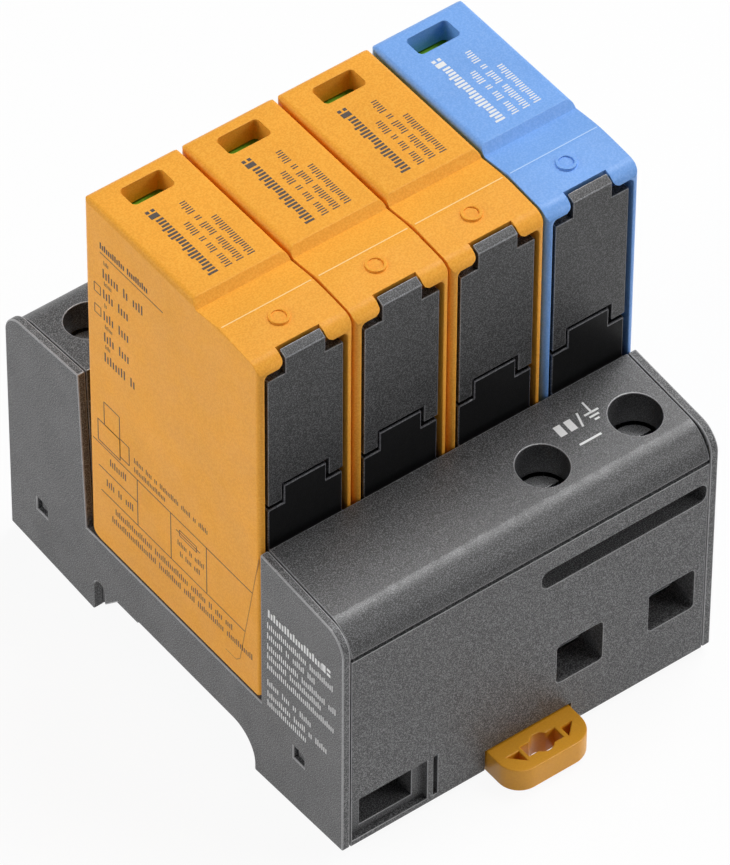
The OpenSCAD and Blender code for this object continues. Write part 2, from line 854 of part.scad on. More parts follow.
// The disconnecting leaf, from the front blade to the solder pad
module plug_spring(k) {
    pad_y = varistor_y - fit;
    top_z = leaf_bend_z + leaf_pad_h;
    color(zinc) translate([pole_x(k), 0, 0]) along_x(-leaf_w / 2, leaf_w / 2)
        polygon([
            [leaf_y, blade_top_z], [leaf_y + leaf_t, blade_top_z],
            [leaf_y + leaf_t, leaf_bend_z - leaf_pad_h], [pad_y, leaf_bend_z],
            [pad_y, top_z], [pad_y - leaf_t, top_z],
            [pad_y - leaf_t, leaf_bend_z], [leaf_y, leaf_bend_z - leaf_pad_h]
        ]);
}

module plug_flag(k) {
    low_z = flag_top_z - flag_t;
    color(green) translate([pole_x(k), 0, 0]) {
        block([-flag_x, flag_front_y, low_z], [flag_x, flag_back_y, flag_top_z]);
        block([-arm_w / 2, flag_front_y, low_z - arm_h], [arm_w / 2, flag_front_y + flag_t, flag_top_z]);
    }
}

module plug_lever(k) {
    color(black) translate([pole_x(k), 0, 0]) {
        difference() {
            union() {
                block([-lever_w / 2, lever_y, lever_low_z], [lever_w / 2, lever_y + lever_t, lever_top_z]);
                tab_low_z = lever_top_z - tab_h;
                tab_top_z = lever_top_z + tab_h;
                along_x(-tab_w / 2, tab_w / 2)
                    polygon([[lever_y, tab_low_z], [lever_y, tab_top_z - tab_fall],
                             [lever_y + tab_t, tab_top_z], [lever_y + tab_t, tab_low_z]]);
                along_x(-lever_w / 2, lever_w / 2) {
                    translate([pivot_y, pivot_z]) circle(boss_r);
                    translate([lever_y, pivot_z - boss_r]) square([pivot_y - lever_y, 2 * boss_r]);
                }
            }
            block([-notch_w / 2, -far, 0], [notch_w / 2, far, lever_low_z + notch_h]);
        }
        translate([-recess_x - pin_in, pivot_y, pivot_z]) rotate([0, 90, 0])
            cylinder(r = pivot_r, h = 2 * (recess_x + pin_in));
    }
}

base_housing();
left_side_cover();
right_side_cover();
front_hood();
back_hood();
plug_catches();
rail_foot();
neutral_bus();
earth_bar();
for (k = [1, 2, 3])
    line_bar(k);
for (i = [0 : 5]) {
    color(steel) at_clamp(i) clamp_screw();
    color(zinc) at_clamp(i) clamp_cage();
}
for (k = poles) {
    plug_housing(k);
    plug_bottom(k);
    plug_blades(k);
    plug_spring(k);
    plug_flag(k);
    plug_lever(k);
}
for (k = [1, 2, 3])
    plug_varistor(k);
plug_spark_gap(4);  // plug_4_spark_gap
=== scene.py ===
"""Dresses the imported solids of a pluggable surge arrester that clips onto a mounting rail.

Places are in metres in the frame of the solids: X runs along the rail from the first plug to the
blue one, -Y is the front with the rail foot, and Z rises from the rail to the tops of the plugs.
Print is laid out in millimetres on the face that carries it.
"""
import json
import math

import bmesh
import bpy
from mathutils import Matrix, Vector


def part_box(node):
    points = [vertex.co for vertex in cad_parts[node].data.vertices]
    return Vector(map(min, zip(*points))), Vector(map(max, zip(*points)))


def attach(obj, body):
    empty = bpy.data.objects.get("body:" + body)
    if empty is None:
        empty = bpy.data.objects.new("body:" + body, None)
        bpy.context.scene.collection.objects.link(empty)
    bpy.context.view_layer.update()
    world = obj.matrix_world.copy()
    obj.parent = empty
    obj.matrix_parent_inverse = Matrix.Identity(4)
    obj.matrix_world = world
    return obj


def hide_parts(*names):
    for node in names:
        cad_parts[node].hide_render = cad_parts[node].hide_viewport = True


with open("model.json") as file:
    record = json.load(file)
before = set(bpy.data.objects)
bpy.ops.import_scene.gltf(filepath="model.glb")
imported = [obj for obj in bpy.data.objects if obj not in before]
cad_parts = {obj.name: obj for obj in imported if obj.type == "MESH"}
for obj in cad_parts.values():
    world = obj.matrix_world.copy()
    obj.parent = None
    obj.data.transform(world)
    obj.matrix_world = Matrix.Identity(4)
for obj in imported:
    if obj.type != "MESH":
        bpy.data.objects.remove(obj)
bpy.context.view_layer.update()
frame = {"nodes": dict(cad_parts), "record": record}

bl_info = {
    "name": "Rail surge arrester",
    "version": (1, 0, 0),
    "blender": (4, 5, 0),
    "location": "View3D > Sidebar > Arrester",
    "description": "Finishes the mouldings, metal parts and print of a pluggable surge arrester",
    "category": "Object",
}

MM = 0.001
POLES = (1, 2, 3, 4)
NEUTRAL = POLES[-1]
CLAMPS = ("line_1", "line_2", "line_3", "neutral", "earth_1", "earth_2")
RECORD = frame["record"]
BODY_OF = {node: body for body, nodes in RECORD["behaviour"]["bodies"].items() for node in nodes}
SLOT_OF = {part["node"]: part["material_slot"] for part in RECORD["subparts"]}

# Welding, rounding and shading of the copies of the solids
WELD = 1e-7
FLAT = math.radians(0.4)
SHARP = math.radians(32)
CREASE = math.radians(36)
STRAIGHT = math.radians(150)

# The rounded nose of a plug, and the fall of the sloped top behind it
NOSED = [f"plug_{k}_housing" for k in POLES]
NOSE_FRONT_Y, NOSE_BACK_Y = -22.4 * MM, -20 * MM
NOSE_LOW_Z, NOSE_TOP_Z = 87 * MM, 89.7 * MM
TOP_FALL, TOP_RUN = 0.8 * MM, 9.9 * MM
NOSE_STEP = TOP_FALL * (NOSE_BACK_Y - NOSE_FRONT_Y) / TOP_RUN
NOSE_WELD = 10 * WELD

# The span that most values of a noise texture lie in
NOISE_LOW, NOISE_HIGH = 0.3, 0.7

# Sockets of a Mix node that are for colours, which share their names with others
MIX_FACTOR, MIX_FIRST, MIX_SECOND, MIX_RESULT = 0, 6, 7, 2

# Moulded plastic: a drift of tone, dark pits of painted shade and light flecks of painted glint in
# the grain, and rubbed streaks in the gloss
DRIFT_SIZE, DRIFT_DARK, DRIFT_LIGHT = 14 * MM, 0.95, 1.05
# Painted shade in the grain's hollows, and painted glints off its bumps
PIT_FROM, PIT_TO, PIT_PAINTED_SHADE = 0.44, 0.5, 0.15
GLINT_FROM, GLINT_TO, GLINT_PAINTED_LIGHT = 0.52, 0.58, 5.0
RUB_SIZE, RUB_DRAWN = 1.6 * MM, (1, 0.35, 0.35)
RUB_GLOSSIER, RUB_DULLER = 0.05, 0.07
GRAIN_STRENGTH = 0.6

# Rolled metal: draw lines along an axis, and tarnish in clouds
ALONG_Y, ALONG_Z = 1, 2
LINE_SIZE, LINE_DRAWN = 0.18 * MM, 0.05
LINE_GLOSSIER, LINE_DULLER = 0.08, 0.1
LINE_DEPTH, LINE_STRENGTH = 0.01 * MM, 0.35
TARNISH_SIZE, TARNISH_FROM = 3.5 * MM, 0.35
TARNISH_DARK, TARNISH_LIGHT = 0.8, 1.04

# Dipped coating: waves in the surface, and mottle in the colour
WAVE_SIZE, WAVE_DEPTH, WAVE_STRENGTH, WAVE_DULLER = 2.6 * MM, 0.08 * MM, 0.5, 0.12
MOTTLE_SIZE, MOTTLE_DARK, MOTTLE_LIGHT = 0.5 * MM, 0.88, 1.08

# Ink: how its thin places are spread, how bare they get and how dull it is
INK_GRAIN = 0.12 * MM
INK_THIN_FROM, INK_THIN_TO, INK_THIN_MOST = 0.58, 0.85, 0.35
INK_GLOSSY, INK_DULL = 0.5, 0.62

# Small print as rows of bars: shares of a row's height, and which bars of a group stand tall.
# A row below is its left end, its middle, its height and the pairs of bars in each group.
BOLD_PEN, BOLD_GAP = 0.25, 0.16
THIN_PEN, THIN_GAP = 0.16, 0.21
SHORT_BAR = 0.26
WORD_GAP = 2.6
TALL_CYCLE, TALL_BARS = 7, (0, 2, 3)
BAR_STRIDE, WORD_STRIDE = 5, 3

# Three blocks at the end of a bold row, which below are their left end, their foot and the
# width of the small ones
BLOCK_WIDTH, BLOCK_HEIGHT, BLOCK_PITCH = 1.0, 1.6, 1.3
SMALL_BLOCK_HEIGHT = 0.6

# Print on a plug's top, from the middle of the plug and from the rail's centre line
TOP_LEFT = -3.2
TOP_BOLD_MIDDLE, TOP_BOLD_HEIGHT = 2.8, 1.75
TOP_BLOCKS = (11.3, 2.0, 0.6)
TOP_ROW_HEIGHT = 1.35
TOP_ROWS = ((0.0, (3, 2, 1, 3)), (-2.1, (6, 3, 1, 3)), (-4.2, (10,)))
LONG_WORD = (10,)

# The painted highlight along a plug's ridge, a thin light line
RIDGE_Y, RIDGE_BELOW_TOP = -12.5, 0.6
RIDGE_INSET, RIDGE_PEN = 0.5, 0.2

# Print on a plug's side, from the rail's centre line towards the front and from the rail upwards
FINE_PEN, TABLE_PEN = 0.16, 0.18
SIDE_BOLD_ROW = (-17.6, 83.8, 1.3, (6, 5))
SIDE_BOLD_RULE = ((-17.6, 82.3), (-1.6, 82.3))
LABEL_LEFT, LABEL_HEIGHT = -17.0, 1.9
TAG_LEFT, TAG_HEIGHT, TAG_RISE = -16.7, 0.9, 2.4
LABELS = ((78.3, (3, 1, 2), 2), (73.9, (2, 2), 3), (69.2, (2, 2), 1), (64.6, (2, 2), 3),
          (60.2, (4, 1), 2))
TICK_BOX_LEFT, TICK_BOX_RIGHT, TICK_BOX_HALF = -19.3, -17.7, 0.9
TICK_BOX_MIDDLES = (73.8, 69.2)
STACKED_BOXES = ((-17.5, 44.8, -13.5, 49.8), (-19.2, 40.2, -13.5, 44.8), (-13.5, 41.0, -11.1, 45.0))
TABLE_LOW, TABLE_HIGH = 29.3, 39.6
TABLE_RULES = (((-20.6, TABLE_HIGH), (20.5, TABLE_HIGH)), ((-19.2, 34.5), (-9.1, 34.5)),
               ((-18.7, TABLE_LOW), (18.5, TABLE_LOW)))
TABLE_POSTS = (-9.1, -0.45, 8.75)
FUSE_BOX = (1.8, 36.4, 6.2, 37.6)
FUSE_WIRE = ((0.9, 37.0), (7.1, 37.0))
SIDE_ROWS = (
    (-9.8, 43.3, 1.1, (3, 2, 1, 6, 3, 1, 3)),
    (-9.8, 41.3, 1.1, LONG_WORD),
    (-16.2, 37.4, 1.5, (4,)),
    (-17.2, 32.1, 1.5, (2, 1, 2)),
    (1.3, 34.6, 1.1, (3, 1, 3)),
    (1.9, 32.4, 1.1, (1, 2, 2)),
    (-15.0, 27.3, 1.3, (10, 9, 4, 1, 2, 2)),
    (-15.9, 25.0, 1.3, (12, 6, 3, 7, 7)),
)

# The slanted line of painted shade at the edge of the raised panel on a plug's side, corner by
# corner, and the width of each leg
PANEL_CORNERS = ((22.2, 48.6), (17.2, 22.0), (16.2, 21.0), (13.5, 21.0))
PANEL_PENS = (0.16, 0.16, 0.12)

# Print on the base's left side, placed as on a plug's side
BASE_BOLD_ROW = (24.7, 39.0, 1.7, LONG_WORD)
BASE_BLOCKS = (38.2, 38.2, 0.9)
BASE_ROW_LEFT, BASE_ROW_HEIGHT = 24.5, 1.35
BASE_ROWS = ((36.2, (10, 6)), (33.9, (4, 1, 3, 2)), (31.5, (8, 6, 2)), (29.4, (5, 8)), (27.1, (17,)),
             (23.3, (3, 2, 1, 3)), (20.8, (6, 3, 1, 3)), (18.7, LONG_WORD))

# The earth mark, on the slope of the front shoulder below its upper edge
SHOULDER_EDGE, SHOULDER_SLOPE = (0, -22.75, 50.3), math.radians(4.4)
MARK_PEN = 0.36
MARK_LOW, MARK_HIGH = -7.6, -5.4
MARK_BLOCK_WIDTH, MARK_BLOCKS = 1.3, (15.6, 17.6)
MARK_SLASH = ((19.7, MARK_LOW - 0.2), (20.5, MARK_HIGH + 0.3))
EARTH_MIDDLE, EARTH_TOP_LINE = 22.5, -6.2
EARTH_STEM, EARTH_PITCH, EARTH_REACHES = 2.3, 0.75, (1.35, 0.9, 0.45)
DASH, DASH_PEN = ((17.0, -10.4), (21.2, -10.4)), 0.4

# Floor, sky and lamps: each lamp has its place, its width and its power in watts
FLOOR_REACH, FLOOR_DROP = 4.0, 0.0002
FLOOR_CLOUD, FLOOR_CLOUD_DARK, FLOOR_ROUGHNESS = 0.3, 0.99, 0.9
FLOOR_WHITE, SKY_STRENGTH = 0.93, 0.06
LAMP_AIM = Vector((0, 0, 0.05))
LAMPS = {
    "overhead": ((0.55, 0.1, 1.2), 0.6, 11.8),
    "left": ((-1.05, 0.35, 0.5), 0.6, 5.9),
    "front": ((1.0, -0.8, 0.6), 0.7, 6.4),
}

# Camera: its turn about Z, its height and its roll, and the focal length in pixels of the picture
CAMERA_TURN, CAMERA_HEIGHT = math.radians(-37.399), math.radians(46.435)
CAMERA_ROLL = math.radians(0.374)
CAMERA_AIM = Vector((-0.128, -1.640, 36.6)) * MM
FOCAL_PIXELS, PICTURE_PIXELS = 9000.0, 865.0
SENSOR_WIDTH = 36.0
CLIP_END = 20.0


def tone(red, green, blue):
    """Linear colour of a swatch given in 8-bit display values."""
    def linear(value):
        value /= 255
        return value / 12.92 if value <= 0.04045 else ((value + 0.055) / 1.055) ** 2.4
    return tuple(linear(value) for value in (red, green, blue))


def length(name, text, millimetres):
    """A size that a user may change, shown in the scene's unit."""
    return bpy.props.FloatProperty(name=name, description=text, default=millimetres * MM, min=0,
                                   precision=5, unit="LENGTH")


def colour(name, text, swatch):
    """A colour that a user may change."""
    return bpy.props.FloatVectorProperty(name=name, description=text, default=tone(*swatch), size=3,
                                         min=0, max=1, subtype="COLOR")


class ArresterSizes(bpy.types.PropertyGroup):
    """Sizes of the fine work on the solids."""
    cover_edge: length("Cover edge", "Rounding on the edges of the side covers and catches", 0.25)
    hood_edge: length("Hood edge", "Rounding on the edges of the shoulder covers", 0.2)
    lever_edge: length("Lever edge", "Rounding on the edges of the levers and flags", 0.15)
    foot_edge: length("Foot edge", "Rounding on the edges of the rail foot", 0.25)
    fine_edge: length("Fine edge", "Rounding on the edges of the housings and metal parts", 0.12)
    core_edge: length("Core edge", "Rounding on the edges of the coated parts in the plugs", 0.4)
    ink_height: length("Ink height", "How far the print stands proud of its face", 0.02)
    base_grain: length("Base grain", "Grain of the eroded mould that the base came from", 0.18)
    lever_grain: length("Lever grain", "Grain of the levers' plates", 0.18)
    plug_grain: length("Plug grain", "Grain of the plugs' satin faces", 0.3)
    camera_distance: length("Camera distance", "From the camera to what it looks at", 1390.5)


class ArresterColours(bpy.types.PropertyGroup):
    """Colours of the finishes."""
    base_grey: colour("Base grey", "Plastic of the base's housing and side covers", (80, 80, 81))
    hood_grey: colour("Hood grey", "Plastic of the base's shoulder covers", (46, 46, 47))
    lever_black: colour("Lever black", "Plastic of the levers", (40, 40, 41))
    catch_black: colour("Catch black", "Plastic of the catches", (11, 11, 12))
    plug_orange: colour("Plug orange", "Plastic of the phase plugs", (250, 171, 60))
    plug_blue: colour("Plug blue", "Plastic of the neutral plug", (120, 170, 238))
    foot_orange: colour("Foot orange", "Plastic of the rail foot", (236, 164, 40))
    flag_green: colour("Flag green", "Plastic of the state flags", (120, 186, 48))
    copper: colour("Copper", "Bars, bus and plug blades", (208, 140, 100))
    screw_steel: colour("Screw steel", "Plated clamp screws", (205, 206, 208))
    cage_steel: colour("Cage steel", "Plated clamp cages and springs", (188, 190, 192))
    coating: colour("Coating", "Dipped coating of the varistors", (176, 44, 34))
    ceramic: colour("Ceramic", "Body of the spark gap", (232, 226, 210))
    dark_ink: colour("Dark ink", "Print on the orange plugs", (52, 44, 40))
    white_ink: colour("White ink", "Print on the base and the blue plug", (236, 236, 236))
    # The two ridge colours are a painted highlight along a plug's ridge
    orange_ridge: colour("Orange ridge", "Worn line on an orange plug's ridge", (255, 214, 140))
    blue_ridge: colour("Blue ridge", "Worn line on the blue plug's ridge", (176, 210, 252))
    floor: colour("Floor", "The pale floor", (246, 246, 246))


class Finish:
    """Puts one node material together on the piece's Object coordinates."""

    def __init__(self, name):
        self.material = bpy.data.materials.new(name)
        self.material.use_nodes = True
        self.tree = self.material.node_tree
        self.shader = self.tree.nodes["Principled BSDF"]
        self.place = self.add("ShaderNodeTexCoord").outputs["Object"]

    def add(self, kind, **settings):
        """A new node, with its own settings."""
        node = self.tree.nodes.new(kind)
        for key, value in settings.items():
            setattr(node, key, value)
        return node

    def link(self, source, target):
        """Joins an output to an input."""
        self.tree.links.new(source, target)

    def stretched(self, across):
        """Coordinates that draw a pattern out along an axis whose number is below 1."""
        node = self.add("ShaderNodeMapping")
        node.inputs["Scale"].default_value = across
        self.link(self.place, node.inputs["Vector"])
        return node.outputs["Vector"]

    def noise(self, size, detail=2.0, roughness=0.5, place=None):
        """A noise pattern whose lumps are about this size."""
        node = self.add("ShaderNodeTexNoise")
        node.inputs["Scale"].default_value = 1 / size
        node.inputs["Detail"].default_value = detail
        node.inputs["Roughness"].default_value = roughness
        self.link(place or self.place, node.inputs["Vector"])
        return node.outputs["Fac"]

    def spread(self, value, to_low=0.0, to_high=1.0, low=NOISE_LOW, high=NOISE_HIGH):
        """Stretches the span between low and high over another one, and cuts off the rest."""
        node = self.add("ShaderNodeMapRange")
        node.inputs["From Min"].default_value = low
        node.inputs["From Max"].default_value = high
        node.inputs["To Min"].default_value = to_low
        node.inputs["To Max"].default_value = to_high
        self.link(value, node.inputs["Value"])
        return node.outputs["Result"]

    def mixed(self, factor, first, second):
        """One colour fading into another; each is a colour or another node's output."""
        node = self.add("ShaderNodeMix", data_type="RGBA")
        self.link(factor, node.inputs[MIX_FACTOR])
        for number, value in ((MIX_FIRST, first), (MIX_SECOND, second)):
            socket = node.inputs[number]
            if isinstance(value, bpy.types.NodeSocket):
                self.link(value, socket)
            else:
                socket.default_value = (*value, 1)
        return node.outputs[MIX_RESULT]

    def tint(self, source):
        """Gives the surface its colour."""
        self.link(source, self.shader.inputs["Base Color"])

    def rough(self, source):
        """Gives the surface its roughness."""
        self.link(source, self.shader.inputs["Roughness"])

    def bump(self, height, depth, strength):
        """Gives the surface a fine relief."""
        node = self.add("ShaderNodeBump")
        node.inputs["Distance"].default_value = depth
        node.inputs["Strength"].default_value = strength
        self.link(height, node.inputs["Height"])
        self.link(node.outputs["Normal"], self.shader.inputs["Normal"])


def scaled(swatch, by):
    """A colour made lighter or darker, within what a surface can reflect."""
    return tuple(min(1.0, channel * by) for channel in swatch)


def hue(name, by=1.0):
    """One of the colours that a user may change, made lighter or darker."""
    return scaled(getattr(bpy.context.scene.arrester_colours, name), by)


def moulded(name, tint, grain, gloss, shine, painted_grain_shading, depth, lighter=1.0):
    """Moulded plastic with the grain of an eroded mould, and a slow drift of tone.

    Dark pits and light flecks make up the grain's colour, at the strength given for them: painted
    shade in the grain's hollows and painted glints off its bumps. lighter makes the rounded edges
    lighter, a painted highlight where they would catch more light than the faces beside them.
    """
    made = Finish(name)
    swatch = hue(tint, lighter)
    drift = made.noise(DRIFT_SIZE, detail=3)
    pits = made.noise(getattr(bpy.context.scene.arrester_sizes, grain), detail=2, roughness=0.6)
    body = made.mixed(made.spread(drift), scaled(swatch, DRIFT_DARK), scaled(swatch, DRIFT_LIGHT))
    pit_shaded = made.mixed(made.spread(pits, painted_grain_shading, 0.0, PIT_FROM, PIT_TO), body,
                        scaled(swatch, PIT_PAINTED_SHADE))
    made.tint(made.mixed(made.spread(pits, 0.0, painted_grain_shading, GLINT_FROM, GLINT_TO), pit_shaded,
                         scaled(swatch, GLINT_PAINTED_LIGHT)))
    rub = made.noise(RUB_SIZE, detail=2, place=made.stretched(RUB_DRAWN))
    made.rough(made.spread(rub, gloss - RUB_GLOSSIER, gloss + RUB_DULLER))
    made.shader.inputs["Specular IOR Level"].default_value = shine
    made.bump(pits, depth, GRAIN_STRENGTH)
    return made.material


def rolled(name, tint, along, gloss):
    """Rolled or plated metal with draw lines along one axis and cloudy tarnish."""
    made = Finish(name)
    swatch = hue(tint)
    draw = [1.0, 1.0, 1.0]
    draw[along] = LINE_DRAWN
    lines = made.noise(LINE_SIZE, detail=2, place=made.stretched(draw))
    cloud = made.noise(TARNISH_SIZE, detail=4, roughness=0.6)
    made.tint(made.mixed(made.spread(cloud, low=TARNISH_FROM), scaled(swatch, TARNISH_DARK),
                         scaled(swatch, TARNISH_LIGHT)))
    made.rough(made.spread(lines, gloss - LINE_GLOSSIER, gloss + LINE_DULLER))
    made.shader.inputs["Metallic"].default_value = 1.0
    made.bump(lines, LINE_DEPTH, LINE_STRENGTH)
    return made.material


def dipped(name, tint, gloss):
    """A dipped coating or glaze: smooth waves, fine mottle and a hard shine."""
    made = Finish(name)
    swatch = hue(tint)
    waves = made.noise(WAVE_SIZE, detail=2)
    mottle = made.noise(MOTTLE_SIZE, detail=3)
    made.tint(made.mixed(made.spread(mottle), scaled(swatch, MOTTLE_DARK),
                         scaled(swatch, MOTTLE_LIGHT)))
    made.rough(made.spread(waves, gloss, gloss + WAVE_DULLER))
    made.bump(waves, WAVE_DEPTH, WAVE_STRENGTH)
    return made.material


def inked(name, tint, under, lighter=1.0):
    """Pad print or a fine line, a little thin in places so that the plastic under it shows. The
    ridge lines are a painted highlight in a lighter colour, and the panel lines are painted shade in
    a darker one.
    """
    made = Finish(name)
    thin = made.noise(INK_GRAIN, detail=2)
    bare = made.spread(thin, 0.0, INK_THIN_MOST, INK_THIN_FROM, INK_THIN_TO)
    made.tint(made.mixed(bare, hue(tint, lighter), hue(under)))
    made.rough(made.spread(thin, INK_GLOSSY, INK_DULL))
    return made.material


# The finishes named for edges are their plastic made several times lighter: a painted highlight on
# the rounded edges
MOULDED = {
    "base_grey_moulding": dict(tint="base_grey", grain="base_grain", gloss=0.46, shine=0.4,
                               painted_grain_shading=0.5, depth=0.03 * MM),
    "base_grey_edge": dict(tint="base_grey", lighter=4.0, grain="base_grain", gloss=0.3, shine=0.6,
                           painted_grain_shading=0.1, depth=0.01 * MM),
    "hood_grey_grain": dict(tint="hood_grey", grain="base_grain", gloss=0.36, shine=0.6,
                            painted_grain_shading=1.0, depth=0.07 * MM),
    "hood_grey_edge": dict(tint="hood_grey", lighter=7.5, grain="base_grain", gloss=0.26, shine=0.7,
                           painted_grain_shading=0.1, depth=0.01 * MM),
    "lever_black_grain": dict(tint="lever_black", grain="lever_grain", gloss=0.38, shine=0.45,
                              painted_grain_shading=1.0, depth=0.04 * MM),
    "lever_black_edge": dict(tint="lever_black", lighter=8.0, grain="lever_grain", gloss=0.3,
                             shine=0.6, painted_grain_shading=0.2, depth=0.01 * MM),
    "catch_black_smooth": dict(tint="catch_black", grain="lever_grain", gloss=0.4, shine=0.12,
                               painted_grain_shading=0.3, depth=0.03 * MM),
    "catch_black_edge": dict(tint="catch_black", lighter=30.0, grain="lever_grain", gloss=0.25,
                             shine=0.6, painted_grain_shading=0.2, depth=0.01 * MM),
    "plug_orange_satin": dict(tint="plug_orange", grain="plug_grain", gloss=0.42, shine=0.15,
                              painted_grain_shading=0.08, depth=0.02 * MM),
    "plug_blue_satin": dict(tint="plug_blue", grain="plug_grain", gloss=0.4, shine=0.25,
                            painted_grain_shading=0.06, depth=0.02 * MM),
    "foot_orange_smooth": dict(tint="foot_orange", grain="plug_grain", gloss=0.36, shine=0.35,
                               painted_grain_shading=0.04, depth=0.015 * MM),
    "flag_green_smooth": dict(tint="flag_green", grain="plug_grain", gloss=0.34, shine=0.35,
                              painted_grain_shading=0.04, depth=0.01 * MM),
}
ROLLED = {
    "rolled_copper": dict(tint="copper", along=ALONG_Y, gloss=0.32),
    "screw_zinc": dict(tint="screw_steel", along=ALONG_Z, gloss=0.3),
    "cage_zinc": dict(tint="cage_steel", along=ALONG_Z, gloss=0.34),
}
DIPPED = {
    "varistor_dip": dict(tint="coating", gloss=0.2),
    "spark_gap_glaze": dict(tint="ceramic", gloss=0.14),
}
INKED = {
    "dark_print": dict(tint="dark_ink", under="plug_orange"),
    "white_print": dict(tint="white_ink", under="base_grey"),
    # A darker orange line of painted shade at the edge of a plug's raised panel
    "panel_edge": dict(tint="plug_orange", lighter=0.45, under="plug_orange"),
    # A painted highlight along a plug's ridge
    "orange_ridge": dict(tint="orange_ridge", under="plug_orange"),
    "blue_ridge": dict(tint="blue_ridge", under="plug_blue"),
}


def finish_named(name):
    """The named finish, made the first time it is asked for."""
    ready = bpy.data.materials.get(name)
    if ready:
        return ready
    for make, finishes in ((moulded, MOULDED), (rolled, ROLLED), (dipped, DIPPED), (inked, INKED)):
        if name in finishes:
            return make(name, **finishes[name])
    raise KeyError(f"no finish is called {name}")


def room_beside(e, chosen, ends):
    """How wide a rounding along this edge can be before it meets another on the faces beside it."""
    least = math.inf
    for loop in e.link_loops:
        after = loop.link_loop_next
        for side, corner in ((loop.link_loop_prev.edge, loop), (after.edge, after)):
            if side not in chosen:
                width = side.calc_length() * abs(math.sin(corner.calc_angle()))
                least = min(least, width / 2 if side.other_vert(corner.vert) in ends else width)
        turns = all(c.is_convex and c.calc_angle() < STRAIGHT for c in (loop, after))
        if turns and loop.link_loop_prev.edge in chosen and after.edge in chosen:
            least = min(least, e.calc_length() / 2)
    return least


def meet(bm):
    """Lifts the rounding of a plug's nose so that it meets the sloped top without a step."""
    for v in bm.verts:
        if v.co.y < NOSE_BACK_Y + NOSE_WELD and NOSE_LOW_Z < v.co.z < NOSE_TOP_Z:
            v.co.z += NOSE_STEP * (v.co.y - NOSE_FRONT_Y) / (NOSE_BACK_Y - NOSE_FRONT_Y)
    bmesh.ops.remove_doubles(bm, verts=bm.verts, dist=NOSE_WELD)


def softened(node, edge):
    """A welded copy of a solid with its outer edges rounded off, where there is room for it.

    The faces of the roundings take the second material, which in some finishes is a painted
    highlight.
    """
    bm = bmesh.new()
    bm.from_mesh(frame["nodes"][node].data)
    bmesh.ops.remove_doubles(bm, verts=bm.verts, dist=WELD)
    if node in NOSED:
        meet(bm)
    bmesh.ops.dissolve_limit(bm, angle_limit=FLAT, verts=bm.verts, edges=bm.edges)
    outer = {e for e in bm.edges
             if len(e.link_faces) == 2 and e.calc_face_angle_signed(0) > SHARP}
    tight = True
    while tight:
        ends = {v for e in outer for v in e.verts}
        tight = {e for e in outer if room_beside(e, outer, ends) < edge}
        outer -= tight
    done = bmesh.ops.bevel(bm, geom=[e for e in bm.edges if e in outer], offset=edge,
                           offset_type="OFFSET", affect="EDGES", segments=2, profile=0.5,
                           material=-1, clamp_overlap=False, loop_slide=False)
    for face in done["faces"]:
        face.material_index = 1
    return bm


def keep(bm, name, body, looks, stands_for=None):
    """Turns a finished mesh into a piece that rides on a body.

    looks names its finish, and the finish of its rounded edges if they have one of their own; that
    second finish is a painted highlight.
    """
    if not bm.faces:
        raise RuntimeError(f"{name} has no faces")
    for face in bm.faces:
        face.smooth = True
        face.material_index = min(face.material_index, len(looks) - 1)
    for e in bm.edges:
        e.smooth = len(e.link_faces) == 2 and e.calc_face_angle(0) < CREASE
    mesh = bpy.data.meshes.new(name)
    bm.to_mesh(mesh)
    bm.free()
    for look in looks:
        mesh.materials.append(finish_named(look))
    piece = bpy.data.objects.new(name, mesh)
    bpy.context.scene.collection.objects.link(piece)
    even = piece.modifiers.new("even_shading", "WEIGHTED_NORMAL")
    even.keep_sharp = True
    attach(piece, body)
    if stands_for:
        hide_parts(stands_for)


def dress(nodes, edge, *looks):
    """Stands a softened piece in for each of these solids."""
    for node in nodes:
        keep(softened(node, edge), f"{node}_finished", BODY_OF[node], looks, node)


